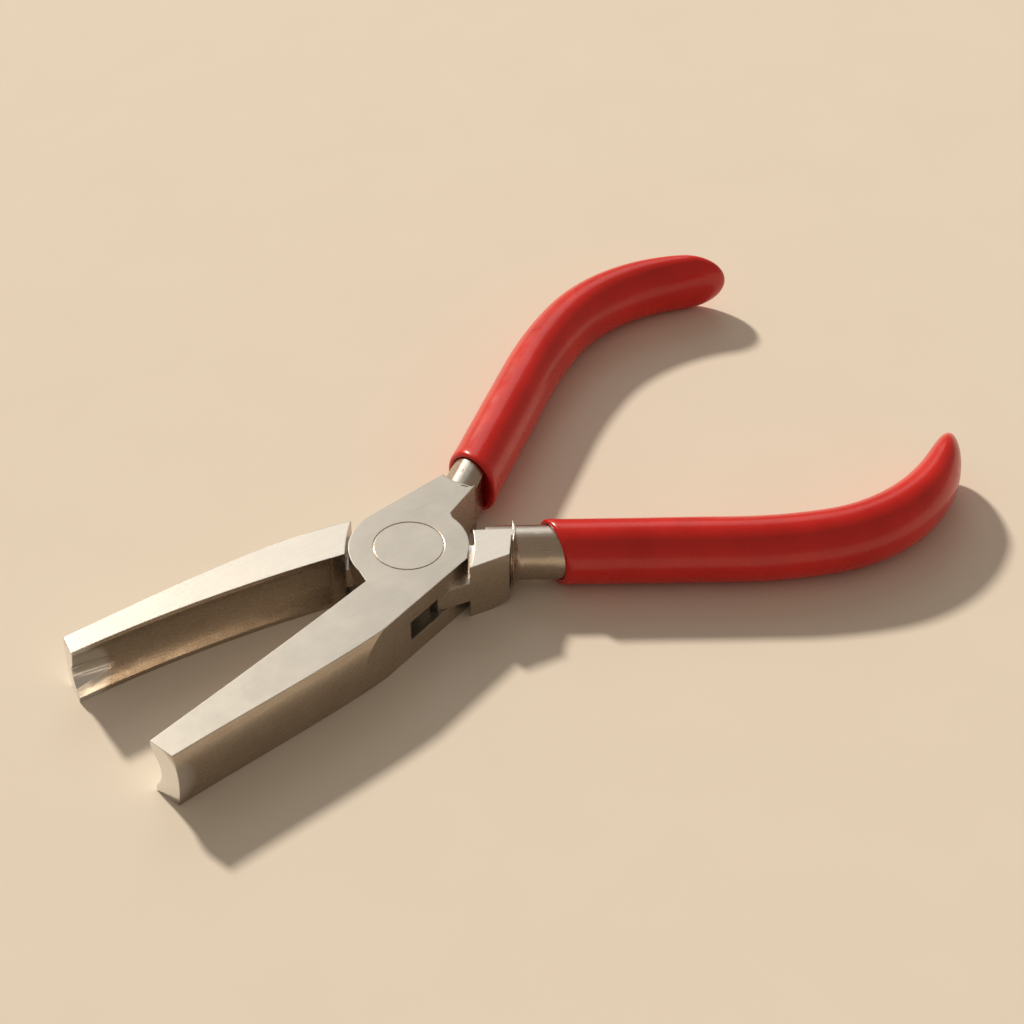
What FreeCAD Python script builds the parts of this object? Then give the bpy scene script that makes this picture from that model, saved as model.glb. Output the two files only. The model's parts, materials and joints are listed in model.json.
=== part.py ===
import FreeCAD, Part
import math
import os

from FreeCAD import Vector

# Snap setter pliers: a box joint plier with a rounded seat in each jaw tip, lying flat.
# Millimetres. The origin is where the pivot axis meets the underside. +Z is up, and +X runs
# towards the handles, halfway between them. The jaws stand open in the rest position.
#
# Both halves are drawn closed in one half frame: the pivot axis at the origin, the jaw towards
# -X on the -Y side, the handle towards +X on the +Y side. The tongue half is then mirrored.

# Driving dimensions
thickness = 9.8
half_opening = 11.83            # each half stands this many degrees off the centre line at rest
jaw_reach = 51.7                # pivot axis to jaw tip
boss_radius = 8.95

# Box joint
slot_bottom = 3.1
slot_top = 6.7
slot_front = -9.6               # slot walls, at right angles to the half's X axis
slot_rear = 9.6
side_clearance = 0.05           # tongue to cheek, each side
tongue_radius = 7.4
inner_notch = (9.5, 0.2)        # where the boss meets the inner side of a rear block
side_near = (2.6, -8.45)        # two points on the flat side beside the joint
side_far = (-18.0, -9.45)

# Rivet
rivet_head_radius = 5.25
rivet_shank_radius = 3.0
rivet_head_depth = 1.3          # straight part of the head, before it tapers to the shank
running_clearance = 0.05        # shank to the tongue's bore, radial
rim_groove = 0.09               # depth and half width of the groove round each head

# Jaw section
barrel_bulge = 0.6              # how far the outer side stands out at mid height
land_height = 0.7               # flat strip above and below the trough
trough_depth = 1.0

# Seats in the jaw tips. Each is a channel's radius, the radius of its inner end, the depth and how
# far the middle lies below mid height.
seat_length = 8.6
box_seat = (4.6, 4.6, 1.6, 0.2)
tongue_seat = (2.45, 2.85, 2.0, 0.5)

# Serrated upper edge of the tongue half's jaw
tooth_pitch = 0.7
tooth_depth = 0.16
tooth_height = 1.0
tooth_count = 34

# Handles. Each has its heading at the start and its runs: length and degrees turned.
handle_start = (18.0, 4.85)
handle_axis_height = 5.3        # so that the grips rest level with the underside
box_handle = (21.5, [(30.5, 0), (14.8, 11.2), (28.8, 57)])
tongue_handle = (24.7, [(30.5, 0), (14.8, 12), (28.8, 61.5)])
tang_half_width = 3.7
tang_half_height = 4.45
tang_share = 0.42               # part of the last run that the tang reaches
neck_flat = 2.45                # handle axis to the flat on its inner side
neck_overlap = 7.0              # how far the neck runs back into its rear block
neck_bend = 1.5
flare_radius = 5.2              # shoulder between a rear block and its neck
flare_back = 3.0
flare_length = 3.4
flare_waist = (0.9, 4.05)       # a point on the shoulder's hollow curve: along and radius
grip_mouth = 20.7
vinyl_wall = 0.85

# Wedge taken off the underside of a rear block
wedge_start = 9.5
wedge_end = 16.5
wedge_rise = 2.2

over = 1.0                      # how far a cutting solid runs past what it cuts


def arc(start, middle, end):
    """A circular edge through three points."""
    return Part.Arc(start, middle, end).toShape()


def prism(outline, bottom, top):
    """A plan outline raised from bottom to top. Each step of the outline is the next corner,
    or a pair: a point on the arc and the next corner."""
    edges = []
    first = here = Vector(*outline[0], bottom)
    for step in outline[1:]:
        if isinstance(step[0], tuple):
            middle, there = (Vector(*point, bottom) for point in step)
            edges.append(arc(here, middle, there))
        else:
            there = Vector(*step, bottom)
            edges.append(Part.LineSegment(here, there).toShape())
        here = there
    edges.append(Part.LineSegment(here, first).toShape())
    return Part.Face(Part.Wire(edges)).extrude(Vector(0, 0, top - bottom))


def cylinder(radius, bottom, top):
    """An upright cylinder on the pivot axis."""
    return Part.makeCylinder(radius, top - bottom, Vector(0, 0, bottom))


def slab():
    """The space between the two ground faces."""
    return Part.makeBox(160, 160, thickness, Vector(-80, -80, 0))


def on_boss(degrees, radius=boss_radius):
    """A point on a circle about the pivot axis."""
    angle = math.radians(degrees)
    return radius * math.cos(angle), radius * math.sin(angle)


# ---- jaws ----

def jaw_section(x, inner, outer):
    """A jaw's section at x: a troughed inner side and a barrelled outer side. Its top and
    bottom run past the ground faces, which are cut afterwards."""
    middle = thickness / 2
    barrel_radius = (middle ** 2 + barrel_bulge ** 2) / (2 * barrel_bulge)
    barrel_centre = outer - barrel_bulge + barrel_radius
    far = middle + over
    outer_far = barrel_centre - math.sqrt(barrel_radius ** 2 - far ** 2)
    top = Vector(x, inner, middle + far)
    land_top = Vector(x, inner, thickness - land_height)
    trough = Vector(x, inner - trough_depth, middle)
    land_bottom = Vector(x, inner, land_height)
    bottom = Vector(x, inner, middle - far)
    outer_bottom = Vector(x, outer_far, middle - far)
    outer_middle = Vector(x, outer - barrel_bulge, middle)
    outer_top = Vector(x, outer_far, middle + far)
    return Part.Wire([
        Part.LineSegment(top, land_top).toShape(),
        arc(land_top, trough, land_bottom),
        Part.LineSegment(land_bottom, bottom).toShape(),
        Part.LineSegment(bottom, outer_bottom).toShape(),
        arc(outer_bottom, outer_middle, outer_top),
        Part.LineSegment(outer_top, top).toShape(),
    ])


def jaw(stations):
    """The jaw through its stations, each an x, an inner side and an outer side."""
    sections = [jaw_section(*station) for station in stations]
    return Part.makeLoft(sections, True, False).common(slab())


def seat(radius, end_radius, depth, drop):
    """The rounded seat cut into a jaw tip: a channel along the jaw with a ball at its inner end."""
    height = thickness / 2 - drop
    end_x = -jaw_reach + seat_length - end_radius
    start = Vector(-jaw_reach - over, radius - depth, height)
    channel = Part.makeCylinder(radius, end_x - start.x, start, Vector(1, 0, 0))
    return channel.fuse(Part.makeSphere(end_radius, Vector(end_x, end_radius - depth, height)))


# ---- handles ----

def direction(degrees):
    """A level unit vector at a heading."""
    return Vector(math.cos(math.radians(degrees)), math.sin(math.radians(degrees)), 0)


def oval(centre, forward, half_width, half_height):
    """An upright oval face, square to the forward direction."""
    sideways = Vector(forward.y, -forward.x, 0)
    top = centre + Vector(0, 0, half_height)
    outline = Part.Ellipse(top, centre + sideways * half_width, centre)
    return Part.Face(Part.Wire(outline.toShape()))


def oval_ball(centre, half_width, half_height):
    """A ball stretched upwards, which ends an oval bar."""
    top = centre + Vector(0, 0, half_height)
    half = Part.Ellipse(top, centre + Vector(half_width, 0, 0), centre).toShape(0, math.pi)
    chord = Part.LineSegment(half.Vertexes[-1].Point, half.Vertexes[0].Point).toShape()
    return Part.Face(Part.Wire([half, chord])).revolve(centre, Vector(0, 0, 1), 360)


def bar(half_width, half_height, heading, runs):
    """An oval bar along a handle's centre line, with a round far end. It starts inside the
    handle's rear block."""
    forward = direction(heading)
    here = Vector(*handle_start, handle_axis_height)
    root = oval(here - forward * neck_overlap, forward, half_width, half_height)
    pieces = [root.extrude(forward * neck_overlap)]
    for length, degrees in runs:
        section = oval(here, forward, half_width, half_height)
        if degrees:
            centre = here + Vector(forward.y, -forward.x, 0) * (length / math.radians(degrees))
            pieces.append(section.revolve(centre, Vector(0, 0, -1), degrees))
            turn = FreeCAD.Rotation(Vector(0, 0, -1), degrees)
            here = centre + turn.multVec(here - centre)
            forward = turn.multVec(forward)
        else:
            pieces.append(section.extrude(forward * length))
            here = here + forward * length
    pieces.append(oval_ball(here, half_width, half_height))
    return pieces[0].fuse(pieces[1:])


def flare(heading):
    """The hollow-curved shoulder where a neck leaves its rear block, between the ground faces."""
    forward = direction(heading)
    up = Vector(0, 0, 1)
    base = Vector(*handle_start, handle_axis_height) - forward * flare_back
    tip = base + forward * flare_length
    rim = base + up * flare_radius
    waist = base + forward * flare_waist[0] + up * flare_waist[1]
    neck = tip + up * (tang_half_width - running_clearance)
    profile = Part.Wire([
        Part.LineSegment(base, rim).toShape(),
        arc(rim, waist, neck),
        Part.LineSegment(neck, tip).toShape(),
        Part.LineSegment(tip, base).toShape(),
    ])
    return Part.Face(profile).revolve(base, forward, 360).common(slab())


def tang(heading, runs):
    """The neck and the tang inside the grip, flattened on the neck's inner side."""
    length, degrees = runs[-1]
    inner_runs = runs[:-1] + [(length * tang_share, degrees * tang_share)]
    rod = bar(tang_half_width, tang_half_height, heading, inner_runs).fuse(flare(heading))
    forward = direction(heading)
    inward = Vector(forward.y, -forward.x, 0)
    flat_start = Vector(*handle_start, 0) + inward * neck_flat
    flat_end = flat_start + forward * neck_overlap
    inner_relief = [
        inner_notch,
        (flat_start.x - neck_bend, flat_start.y - neck_bend * forward.y / forward.x),
        (flat_end.x, flat_end.y),
        (flat_end.x, -neck_overlap),
        (0, -neck_overlap),
        (0, 0),
    ]
    return rod.cut(prism(inner_relief, -over, thickness + over))


def grip(heading, runs):
    """The dipped sleeve, from its mouth to its round end, hollow where the tang fills it."""
    sleeve = bar(tang_half_width + vinyl_wall, tang_half_height + vinyl_wall, heading, runs)
    mouth = Part.makeBox(40, 60, 40, Vector(grip_mouth - 40, -30, -10))
    return sleeve.cut(mouth).cut(tang(heading, runs)).Solids[0]


# ---- the box joint ----

def beyond_side():
    """The space outside the flat side that both halves have beside the joint."""
    slope = (side_far[1] - side_near[1]) / (side_far[0] - side_near[0])
    reach = 40.0
    ends = [(x, side_near[1] + slope * (x - side_near[0])) for x in (-reach, reach)]
    return prism(ends + [(reach, -reach), (-reach, -reach)], -over, thickness + over)


def under_rear():
    """The wedge taken off the underside of a rear block, towards the neck."""
    corners = [(wedge_start, 0), (wedge_end, wedge_rise), (wedge_end, -over), (wedge_start, -over)]
    profile = Part.makePolygon([Vector(x, -20, z) for x, z in corners + corners[:1]])
    return Part.Face(profile).extrude(Vector(0, 40, 0))


def rivet(rim):
    """The rivet, flush at both ends. The rim is how far each face edge stands out from the head's
    radius: inwards on the rivet itself and outwards on its hole, which leaves a fine groove."""
    head = rivet_head_radius
    shank = rivet_shank_radius
    lower = [(0, 0), (head + rim, 0), (head, rim_groove), (head, rivet_head_depth),
             (shank, slot_bottom)]
    upper = [(shank, slot_top), (head, thickness - rivet_head_depth),
             (head, thickness - rim_groove), (head + rim, thickness), (0, thickness), (0, 0)]
    section = Part.makePolygon([Vector(x, 0, z) for x, z in lower + upper])
    return Part.Face(section).revolve(Vector(), Vector(0, 0, 1), 360)


def box_half():
    """The half with the slotted box: jaw, upper and lower cheek, rear block and tang."""
    inner = -0.5
    side = side_near[1]
    stations = [(-jaw_reach, 0.0, -4.4), (-38.0, -0.3, -6.4),
                (-24.0, inner, -8.45), (slot_front, inner, -9.6)]
    root = prism([(-13.0, inner), (-9.73, inner), on_boss(168), (0, 0), (6.0, -6.0),
                  (2.6, side - over), (-13.0, side - 2 * over)], 0, thickness)
    rear = prism([on_boss(82), (15.4, 7.0), (15.4, 3.6), ((15.65, 2.3), (16.9, 1.6)),
                  inner_notch, on_boss(-5), (0, 0)], 0, thickness).cut(under_rear())
    body = jaw(stations).fuse([root, rear, cylinder(boss_radius, 0, thickness),
                               tang(*box_handle)])
    slot = Part.makeBox(slot_rear - slot_front, 40, slot_top - slot_bottom,
                        Vector(slot_front, -20, slot_bottom))
    return body.cut([beyond_side(), slot, seat(*box_seat), rivet(rim_groove)]).Solids[0]


def teeth(stations):
    """Fine notches down the jaw's upper inner edge, shallower away from the tip."""
    edge = Part.BSplineCurve()
    edge.interpolate([Vector(x, inner, thickness + tooth_depth) for x, inner, _ in stations])
    half_width = tooth_pitch * 0.45
    notches = []
    for index in range(tooth_count):
        parameter = edge.parameterAtDistance(tooth_pitch * (index + 0.5), edge.FirstParameter)
        root = edge.value(parameter)
        depth = tooth_depth * (1.0 - index / tooth_count)
        triangle = Part.makePolygon([
            root + Vector(-half_width, tooth_depth, 0),
            root + Vector(0, -depth, 0),
            root + Vector(half_width, tooth_depth, 0),
            root + Vector(-half_width, tooth_depth, 0),
        ])
        fade = Vector(0, depth + tooth_depth, -tooth_height)
        notches.append(Part.Face(triangle).extrude(fade))
    return notches


def tongue_half():
    """The half that passes through the box: jaw, thin tongue, rear block and tang."""
    inner = -2.45
    stations = [(-jaw_reach, 0.0, -3.6), (-38.0, -1.75, -6.2),
                (-24.0, -2.55, -8.4), (slot_front, inner, -9.4)]
    root = prism([(-11.3, inner), (-9.19, inner), ((-7.5, -5.75), (-4.7, -9.9)),
                  (-11.3, -10.5)], 0, thickness)
    rear = prism([(9.97, 0.99), ((8.35, 4.95), (6.01, 8.37)), (12.57, 8.2), (14.57, 4.7),
                  (15.45, 3.9), (15.2, 3.15)], 0, thickness).cut(under_rear())
    low = slot_bottom + side_clearance
    high = slot_top - side_clearance
    jaw_web = prism([(0, 3.0), (-9.19, inner), (-10.5, -3.0), (-10.0, -8.5), (-5.5, -8.7),
                     (-0.5, -7.0), (3.0, 0)], low, high)
    rear_web = prism([(0, 0), (-0.9, 6.6), (0.8, 8.35), (6.5, 8.35), (11.0, 6.0),
                      (11.0, 2.5), (9.97, 0.99), (7.0, -2.0)], low, high)
    tongue = cylinder(tongue_radius, low, high).fuse([jaw_web, rear_web])
    bore = cylinder(rivet_shank_radius + running_clearance, -over, thickness + over)
    body = jaw(stations).fuse([root, rear, tongue, tang(*tongue_handle)])
    return body.cut([beyond_side(), seat(*tongue_seat), bore] + teeth(stations)).Solids[0]


def main():
    """Write every piece in its place, the halves turned apart to the rest position."""
    os.makedirs("parts", exist_ok=True)
    pieces = {
        "box_half": (box_half(), False),
        "pivot_rivet": (rivet(-rim_groove), False),
        "box_half_grip": (grip(*box_handle), False),
        "tongue_half": (tongue_half(), True),
        "tongue_half_grip": (grip(*tongue_handle), True),
    }
    for name, (shape, mirrored) in pieces.items():
        if mirrored:
            shape = shape.mirror(Vector(), Vector(0, 1, 0))
        shape.rotate(Vector(), Vector(0, 0, 1), -half_opening if mirrored else half_opening)
        print(name, shape.ShapeType, len(shape.Solids), shape.isValid(), round(shape.Volume, 1))
        shape.exportStep("parts/" + name + ".step")


main()
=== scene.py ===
import json
import math

import bmesh
import bpy
from mathutils import Matrix, Vector


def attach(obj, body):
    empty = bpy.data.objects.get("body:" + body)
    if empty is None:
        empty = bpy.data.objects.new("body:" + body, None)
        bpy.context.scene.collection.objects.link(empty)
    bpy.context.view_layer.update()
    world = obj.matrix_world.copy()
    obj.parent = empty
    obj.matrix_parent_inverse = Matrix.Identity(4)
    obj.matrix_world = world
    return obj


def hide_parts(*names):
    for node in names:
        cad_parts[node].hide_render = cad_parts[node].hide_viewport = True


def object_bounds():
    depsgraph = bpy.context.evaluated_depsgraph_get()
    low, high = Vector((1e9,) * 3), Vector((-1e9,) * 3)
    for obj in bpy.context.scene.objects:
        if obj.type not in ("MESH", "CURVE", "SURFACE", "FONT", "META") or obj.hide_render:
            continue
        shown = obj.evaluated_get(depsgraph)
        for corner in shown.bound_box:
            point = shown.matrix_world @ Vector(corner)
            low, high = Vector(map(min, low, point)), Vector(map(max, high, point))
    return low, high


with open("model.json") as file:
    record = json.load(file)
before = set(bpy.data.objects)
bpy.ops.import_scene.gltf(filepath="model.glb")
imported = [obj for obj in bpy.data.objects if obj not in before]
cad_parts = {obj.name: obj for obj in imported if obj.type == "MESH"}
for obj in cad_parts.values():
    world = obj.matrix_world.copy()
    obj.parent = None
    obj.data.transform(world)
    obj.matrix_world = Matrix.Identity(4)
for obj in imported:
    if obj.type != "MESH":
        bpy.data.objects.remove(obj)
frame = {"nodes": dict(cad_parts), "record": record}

cad_low, cad_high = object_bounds()
MM = 0.001

# Handles, as the CAD has them, in the half frame: millimetres and degrees. Each has the heading
# at its start and its runs: length and degrees turned.
HALF_OPENING = 11.83
HANDLE_START = (18.0, 4.85)
AXIS_HEIGHT = 5.3
HANDLES = {
    "box_half_grip": (21.5, ((30.5, 0), (14.8, 11.2), (28.8, 57))),
    "tongue_half_grip": (24.7, ((30.5, 0), (14.8, 12), (28.8, 61.5))),
}
GRIP_MOUTH = 20.7
GRIP_HALF_HEIGHT = 5.3
TANG_HALF_WIDTH = 3.72
TANG_HALF_HEIGHT = 4.47
TANG_END = 57.5                 # distance along the handle
NECK_FLAT = 2.43                # handle axis to the flat on the neck's inner side
FLAT_END = 7.0

# Grip skin: distance from the mouth and half width, round the lip and on to the straight part
LIP = ((0.30, 3.74), (0.05, 3.90), (0.0, 4.08), (0.06, 4.27), (0.28, 4.44), (0.65, 4.53),
       (1.2, 4.54), (2.0, 4.50), (3.0, 4.48))
SKIN = ((8.0, 4.50), (20.0, 4.53))
HALF_WIDTH = 4.53               # along the straight part
LIP_REACH = 14.0                # how far the mouth's slant carries on along the sleeve
# The end narrows as a long ellipse in plan, and rounds off in height only near its tip. Distances
# run back from the end of the centre line, except the last, which runs past it.
NARROWS = 24.1
ROUNDS_OFF = 3.0
TIP = 4.5
BALL_RINGS = 10
INNER_RINGS = 60
OUTER_RINGS = 60
TIP_RINGS = 40
BALL_START = 4                  # degrees off the axis where the hollow's round end begins
TIP_STOP = 88                   # degrees round the long ellipse where the tip is closed
SIDES = 48

# Steel colours, and the sizes of its surface details in metres
BOX_GROUND = (0.40, 0.395, 0.375)
# The tongue half's ground faces are the same steel as the box half's, painted lighter: a painted
# highlight
TONGUE_GROUND_PAINTED_HIGHLIGHT = (0.60, 0.59, 0.56)
RIVET_GROUND = (0.41, 0.405, 0.385)
# Warm brown on the side faces: a painted reflection of the warm floor, not the steel's own colour
STEEL_SIDE_PAINTED_REFLECTION = (0.50, 0.42, 0.34)
# Lighter colour near the seats: a painted highlight on top of the real polish
SEAT_PAINTED_HIGHLIGHT = (0.82, 0.81, 0.79)
SEAT_OUTER = 0.0062             # the polish and its painted highlight fade out between these distances from the seat
SEAT_INNER = 0.0052
EDGE_ROUND = 0.00022
BRUSH_DEPTH = 0.0000075

FLOOR_HALF = 3.0
FLOOR_GAP = 0.00002
KEY_SPREAD = math.radians(5)

VIEW_TURN = math.radians(-37.78)
CAMERA_PLACE = Vector((-142.09, -208.22, 235.1)) * MM
CAMERA_FORWARD = Vector((0.4623, 0.5965, -0.6561))
LENS = 80.5


# ---- meshes ----

class CentreLine:
    """A handle's centre line, sampled about every half millimetre."""

    def __init__(self, heading, runs):
        here = Vector(HANDLE_START)
        heading = math.radians(heading)
        travelled = 0.0
        self.points = [(0.0, here.copy(), heading)]
        for length, degrees in runs:
            steps = round(length * 2)
            for _ in range(steps):
                turn = math.radians(degrees) / steps
                heading -= turn / 2
                here = here + Vector((math.cos(heading), math.sin(heading))) * (length / steps)
                heading -= turn / 2
                travelled += length / steps
                self.points.append((travelled, here.copy(), heading))
        self.end = travelled

    def at(self, distance):
        """Position and heading at a distance; past either end the line runs straight."""
        if distance <= 0 or distance >= self.end:
            base, here, heading = self.points[0] if distance <= 0 else self.points[-1]
            forward = Vector((math.cos(heading), math.sin(heading)))
            return here + forward * (distance - base), heading
        for (a, start, turned), (b, end, later) in zip(self.points, self.points[1:]):
            if distance <= b:
                part = (distance - a) / (b - a)
                return start.lerp(end, part), turned + (later - turned) * part


def smooth(table, x):
    """A value from a table of pairs, eased between its entries."""
    for (a, low), (b, high) in zip(table, table[1:]):
        if x <= b:
            part = max(0.0, min(1.0, (x - a) / (b - a)))
            return low + (high - low) * part * part * (3 - 2 * part)
    return table[-1][1]


def grip_profile(mouth, end):
    """A sleeve's closed profile as distance, half width and half height: up the inside, round
    the lip and down the outside to the tip. Also gives how many rows lie on the inside."""
    rows = []
    for k in range(BALL_RINGS):
        angle = math.radians(BALL_START + (90 - BALL_START) * k / (BALL_RINGS - 1))
        rows.append((TANG_END + TANG_HALF_WIDTH * math.cos(angle),
                     TANG_HALF_WIDTH * math.sin(angle), TANG_HALF_HEIGHT * math.sin(angle)))
    reach = mouth + LIP[0][0]
    for k in range(1, INNER_RINGS):
        rows.append((TANG_END + (reach - TANG_END) * k / INNER_RINGS,
                     TANG_HALF_WIDTH, TANG_HALF_HEIGHT))
    inner_count = len(rows) + 1
    wall = GRIP_HALF_HEIGHT - HALF_WIDTH
    rows += [(mouth + along, width, min(width + wall, GRIP_HALF_HEIGHT)) for along, width in LIP]
    outer = (LIP[-1],) + SKIN
    start = mouth + LIP[-1][0]
    narrows = end - NARROWS
    for k in range(1, OUTER_RINGS + 1):
        distance = start + (narrows - start) * k / OUTER_RINGS
        width = smooth(outer, distance - mouth)
        rows.append((distance, width, min(width + wall, GRIP_HALF_HEIGHT)))
    for k in range(1, TIP_RINGS + 1):
        angle = math.radians(TIP_STOP * k / TIP_RINGS)
        distance = narrows + (NARROWS + TIP) * math.sin(angle)
        late = max(0.0, (distance - end + ROUNDS_OFF) / (ROUNDS_OFF + TIP))
        rows.append((distance, HALF_WIDTH * math.cos(angle),
                     GRIP_HALF_HEIGHT * math.sqrt(1.0 - late * late)))
    return rows, inner_count


def grip_mesh(node, side):
    """A dipped sleeve in the row frame; side is 1 for the box half and -1 for the tongue half."""
    heading, runs = HANDLES[node]
    line = CentreLine(heading, runs)
    lean = math.tan(math.radians(heading))
    mouth = (GRIP_MOUTH - HANDLE_START[0]) / math.cos(math.radians(heading))
    rows, inner_count = grip_profile(mouth, line.end)
    mesh = bmesh.new()
    rings = []
    for index, (distance, width, height) in enumerate(rows):
        fade = max(0.0, min(1.0, 1.0 - (distance - mouth) / LIP_REACH))
        ring = []
        for k in range(SIDES):
            angle = 2 * math.pi * k / SIDES
            across = width * math.cos(angle)
            if index < inner_count and distance < FLAT_END:
                across = max(across, -NECK_FLAT)
            place, turned = line.at(distance + across * lean * fade)
            flat = place + Vector((-math.sin(turned), math.cos(turned))) * across
            spot = Vector((flat.x, flat.y * side, AXIS_HEIGHT + height * math.sin(angle)))
            ring.append(mesh.verts.new(spot * MM))
        rings.append(ring)
    for one, two in zip(rings, rings[1:]):
        for k in range(SIDES):
            mesh.faces.new((one[k], one[(k + 1) % SIDES], two[(k + 1) % SIDES], two[k]))
    for ring in (rings[0], rings[-1]):
        mesh.faces.new(ring)
    bmesh.ops.rotate(mesh, cent=(0, 0, 0), verts=mesh.verts,
                     matrix=Matrix.Rotation(math.radians(HALF_OPENING) * side, 3, "Z"))
    bmesh.ops.recalc_face_normals(mesh, faces=mesh.faces)
    return mesh


def add_object(name, mesh):
    data = bpy.data.meshes.new(name)
    mesh.to_mesh(data)
    mesh.free()
    for face in data.polygons:
        face.use_smooth = True
    thing = bpy.data.objects.new(name, data)
    bpy.context.scene.collection.objects.link(thing)
    return thing


# ---- materials ----

class Shader:
    """A material's node tree, with short calls for the nodes used here."""

    def __init__(self, name):
        self.material = bpy.data.materials.new(name)
        self.material.use_nodes = True
        self.tree = self.material.node_tree
        self.surface = self.tree.nodes["Principled BSDF"]
        self.place = self.node("ShaderNodeTexCoord").outputs["Object"]
        self.facing = self.node("ShaderNodeTexCoord").outputs["Normal"]

    def node(self, kind, **settings):
        made = self.tree.nodes.new(kind)
        for key, value in settings.items():
            setattr(made, key, value)
        return made

    def feed(self, socket, value):
        if isinstance(value, bpy.types.NodeSocket):
            self.tree.links.new(value, socket)
        else:
            socket.default_value = value

    def maths(self, operation, *values):
        made = self.node("ShaderNodeMath", operation=operation)
        for socket, value in zip(made.inputs, values):
            self.feed(socket, value)
        return made.outputs[0]

    def spread(self, value, low, high, start=0.0, end=1.0):
        made = self.node("ShaderNodeMapRange")
        for socket, item in zip(made.inputs, (value, low, high, start, end)):
            self.feed(socket, item)
        return made.outputs[0]

    def noise(self, scales, turn=0.0, detail=3.0):
        mapping = self.node("ShaderNodeMapping")
        self.feed(mapping.inputs["Vector"], self.place)
        mapping.inputs["Rotation"].default_value = (0, 0, math.radians(turn))
        mapping.inputs["Scale"].default_value = scales
        made = self.node("ShaderNodeTexNoise")
        self.feed(made.inputs["Vector"], mapping.outputs[0])
        made.inputs["Scale"].default_value = 1.0
        made.inputs["Detail"].default_value = detail
        return made.outputs[0]

    def mix(self, factor, low, high):
        """A colour between two."""
        made = self.node("ShaderNodeMix", data_type="RGBA")
        self.feed(made.inputs[0], factor)
        for socket, value in ((made.inputs[6], low), (made.inputs[7], high)):
            self.feed(socket, (*value, 1.0) if isinstance(value, tuple) else value)
        return made.outputs[2]

    def blend(self, factor, low, high):
        """A number between two."""
        made = self.node("ShaderNodeMix", data_type="FLOAT")
        for index, value in ((0, factor), (2, low), (3, high)):
            self.feed(made.inputs[index], value)
        return made.outputs[0]

    def bump(self, height, depth, below=None):
        made = self.node("ShaderNodeBump")
        made.inputs["Distance"].default_value = depth
        self.feed(made.inputs["Height"], height)
        if below is not None:
            self.feed(made.inputs["Normal"], below)
        return made.outputs[0]


def steel(name, ground, side, brush, roughness, seat=None):
    """Brushed steel. Ground faces point up or down and are brushed across; the sides carry finer
    marks along their length and a warm brown tone, a painted reflection of the warm floor. Near a
    seat the steel is polished and painted lighter, a painted highlight."""
    s = Shader(name)
    parts = s.node("ShaderNodeSeparateXYZ")
    s.feed(parts.inputs[0], s.facing)
    flat = s.spread(s.maths("ABSOLUTE", parts.outputs[2]), 0.90, 0.985)
    across = s.noise((90, 6000, 90), turn=brush)
    along = s.noise((110, 110, 4200))
    marks = s.blend(flat, along, across)
    cloud = s.noise((260, 260, 260), detail=4.0)
    specks = s.noise((2600, 2600, 2600), detail=1.0)
    # Side faces take the side tone, a painted reflection of the warm floor; up and down faces take
    # the ground tone
    tone = s.mix(flat, side, ground)
    tone = s.mix(s.spread(marks, 0.32, 0.68, 0.0, 0.34), tone,
                 s.mix(0.5, tone, (0.24, 0.22, 0.19)))
    tone = s.mix(s.spread(cloud, 0.35, 0.70, 0.0, 0.20), tone, s.mix(0.5, tone, (0.80, 0.78, 0.73)))
    rough = s.blend(flat, roughness[1], roughness[0])
    rough = s.maths("ADD", rough, s.spread(marks, 0.2, 0.8, -0.05, 0.07))
    rough = s.maths("ADD", rough, s.spread(specks, 0.3, 0.8, -0.02, 0.05))
    if seat is not None:
        reach = s.node("ShaderNodeVectorMath", operation="DISTANCE")
        s.feed(reach.inputs[0], s.place)
        reach.inputs[1].default_value = seat
        # Near the seat: lower roughness for the real polish, and a lighter colour that is a painted
        # highlight
        seat_polish_and_painted_highlight = s.maths("MULTIPLY", s.spread(reach.outputs["Value"], SEAT_OUTER, SEAT_INNER),
                       s.maths("SUBTRACT", 1.0, flat))
        tone = s.mix(seat_polish_and_painted_highlight, tone, SEAT_PAINTED_HIGHLIGHT)
        rough = s.blend(seat_polish_and_painted_highlight, rough, 0.14)
    edge = s.node("ShaderNodeBevel", samples=4)
    edge.inputs["Radius"].default_value = EDGE_ROUND
    s.feed(s.surface.inputs["Base Color"], tone)
    s.feed(s.surface.inputs["Roughness"], rough)
    s.surface.inputs["Metallic"].default_value = 1.0
    s.feed(s.surface.inputs["Normal"], s.bump(marks, BRUSH_DEPTH, edge.outputs[0]))
    return s.material


def vinyl():
    """Glossy dipped vinyl, a little uneven, with a few fine specks."""
    s = Shader("red_vinyl")
    cloud = s.noise((120, 120, 120), detail=2.0)
    skin = s.noise((420, 420, 420), detail=2.0)
    pits = s.node("ShaderNodeTexVoronoi")
    s.feed(pits.inputs["Vector"], s.place)
    pits.inputs["Scale"].default_value = 520.0
    speck = s.spread(pits.outputs["Distance"], 0.05, 0.09, 1.0, 0.0)
    tone = s.mix(s.spread(cloud, 0.3, 0.7), (0.56, 0.006, 0.004), (0.68, 0.012, 0.007))
    tone = s.mix(s.maths("MULTIPLY", speck, 0.35), tone, (0.20, 0.006, 0.005))
    s.feed(s.surface.inputs["Base Color"], tone)
    s.feed(s.surface.inputs["Roughness"], s.spread(skin, 0.2, 0.8, 0.24, 0.36))
    s.surface.inputs["IOR"].default_value = 1.46
    s.surface.inputs["Coat Weight"].default_value = 0.25
    s.surface.inputs["Coat Roughness"].default_value = 0.05
    s.feed(s.surface.inputs["Normal"], s.bump(skin, 0.00002, s.bump(cloud, 0.00010)))
    return s.material


def floor_material():
    s = Shader("pale_floor")
    grain = s.noise((60, 60, 60), detail=2.0)
    s.feed(s.surface.inputs["Base Color"],
           s.mix(grain, (0.79, 0.735, 0.655), (0.82, 0.765, 0.685)))
    s.surface.inputs["Roughness"].default_value = 0.9
    return s.material


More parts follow.
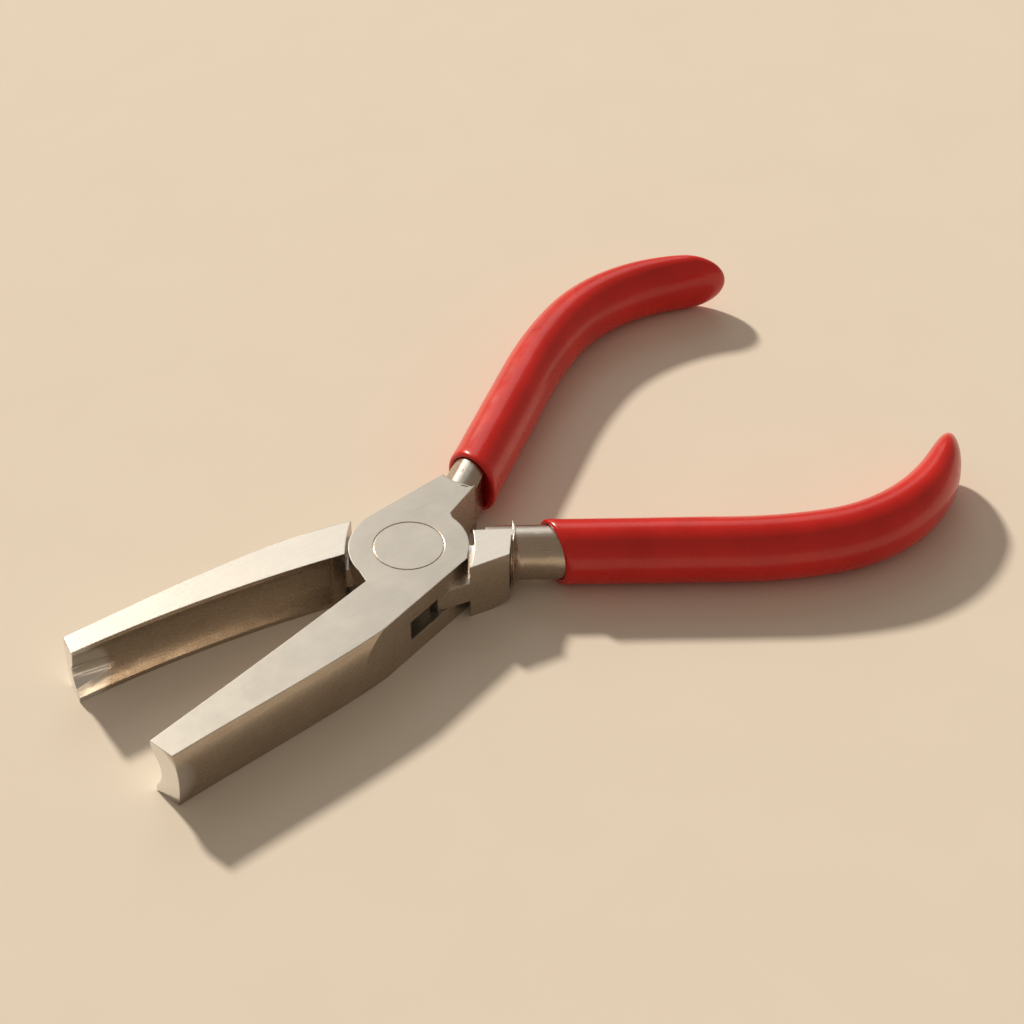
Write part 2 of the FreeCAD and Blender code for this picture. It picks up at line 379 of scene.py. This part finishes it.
def dress(thing, material):
    """The material goes on every slot of the object."""
    if not thing.data.materials:
        thing.data.materials.append(None)
    for index in range(len(thing.material_slots)):
        thing.material_slots[index].link = "OBJECT"
        thing.material_slots[index].material = material


# ---- the tool ----

seats = {mount["name"]: tuple(mount["pos_m"]) for mount in frame["record"]["mounts"]}
nodes = frame["nodes"]
dress(nodes["box_half"], steel("box_steel", BOX_GROUND, STEEL_SIDE_PAINTED_REFLECTION, 24.0, (0.40, 0.27),
                               seat=seats["box_half_seat"]))
dress(nodes["tongue_half"], steel("tongue_steel", TONGUE_GROUND_PAINTED_HIGHLIGHT, STEEL_SIDE_PAINTED_REFLECTION, -52.0, (0.36, 0.27),
                                  seat=seats["tongue_half_seat"]))
dress(nodes["pivot_rivet"], steel("rivet_steel", RIVET_GROUND, STEEL_SIDE_PAINTED_REFLECTION, 24.0, (0.40, 0.28)))

red = vinyl()
for node, body, side in (("box_half_grip", "box_side", 1), ("tongue_half_grip", "tongue_side", -1)):
    sleeve = add_object(node + "_skin", grip_mesh(node, side))
    dress(sleeve, red)
    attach(sleeve, body)
    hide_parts(node)


# ---- floor, light, camera ----

def studio(x, y, z):
    """A place given as right, away and up from the camera's side, in metres."""
    return Matrix.Rotation(VIEW_TURN, 3, "Z") @ Vector((x, y, z))


floor = bmesh.new()
bmesh.ops.create_grid(floor, x_segments=1, y_segments=1, size=FLOOR_HALF,
                      matrix=Matrix.Translation((0, 0, cad_low.z - FLOOR_GAP)))
floor = add_object("floor", floor)
dress(floor, floor_material())


def light(name, kind, place, power, colour, **shape):
    """A light that points at the object's pivot."""
    data = bpy.data.lights.new(name, kind)
    data.energy = power
    data.color = colour
    for key, value in shape.items():
        setattr(data, key, value)
    lamp = bpy.data.objects.new(name, data)
    lamp.location = place
    lamp.rotation_mode = "QUATERNION"
    lamp.rotation_quaternion = (-place).to_track_quat("-Z", "Y")
    bpy.context.scene.collection.objects.link(lamp)


light("key", "SUN", studio(-0.47, 0.67, 0.57), 3.3, (1.0, 0.88, 0.72), angle=KEY_SPREAD)
light("back", "AREA", studio(0.0, 0.85, 0.74), 1.0, (1.0, 0.98, 0.95), size=0.55)

world = bpy.data.worlds.new("studio")
world.use_nodes = True
world.node_tree.nodes["Background"].inputs["Color"].default_value = (1.0, 0.82, 0.64, 1.0)
world.node_tree.nodes["Background"].inputs["Strength"].default_value = 0.30
bpy.context.scene.world = world
bpy.context.scene.view_settings.view_transform = "Standard"

eye = bpy.data.cameras.new("camera")
eye.lens = LENS
eye.sensor_width = 36.0
eye.clip_start = 0.01
camera = bpy.data.objects.new("camera", eye)
camera.location = CAMERA_PLACE
camera.rotation_mode = "QUATERNION"
camera.rotation_quaternion = CAMERA_FORWARD.to_track_quat("-Z", "Y")
bpy.context.scene.collection.objects.link(camera)
bpy.context.scene.camera = camera
